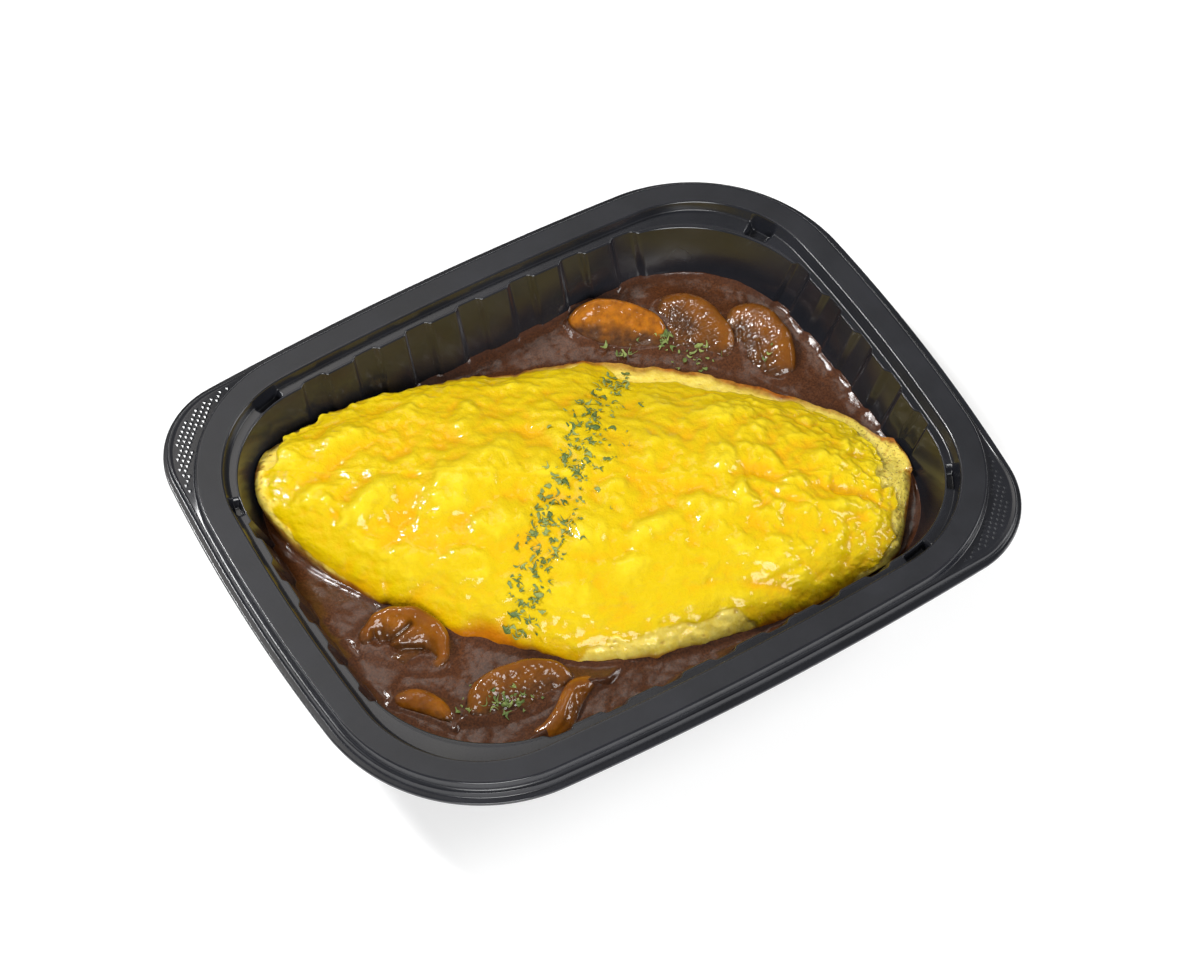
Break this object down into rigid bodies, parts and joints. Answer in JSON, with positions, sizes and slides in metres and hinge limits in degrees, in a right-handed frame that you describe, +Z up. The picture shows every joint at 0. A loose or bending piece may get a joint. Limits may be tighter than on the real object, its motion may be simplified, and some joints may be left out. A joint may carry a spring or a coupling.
{
  "type": "omurice",
  "caption": "Spindle-shaped rice-filled omelette lying corner to corner in a black plastic meal tray, with brown sauce and mushroom slices on both sides.",
  "frame": {"origin": "on the surface the tray stands on, under the middle of the tray", "axes": "+X along the tray's long sides, +Y along its short sides, +Z up; the omelette runs from the -X +Y corner to the +X -Y corner"},
  "size_m": [0.2192, 0.1724, 0.04],
  "materials": {
    "tray": "satin black thermoformed plastic with finely knurled thumb tabs",
    "sauce": "glossy dark brown sauce",
    "egg": "soft, moist yellow egg with folds, curds and small wet highlights",
    "mushroom": "amber brown cooked mushroom, wet with sauce"
  },
  "bodies": {
    "root": {"tray": "tray", "sauce": "sauce", "omelette": "egg", "mushroom_far_1": "mushroom", "mushroom_far_2": "mushroom", "mushroom_far_3": "mushroom", "mushroom_near_1": "mushroom", "mushroom_near_2": "mushroom", "mushroom_near_3": "mushroom", "mushroom_near_4": "mushroom"}
  },
  "joints": []
}
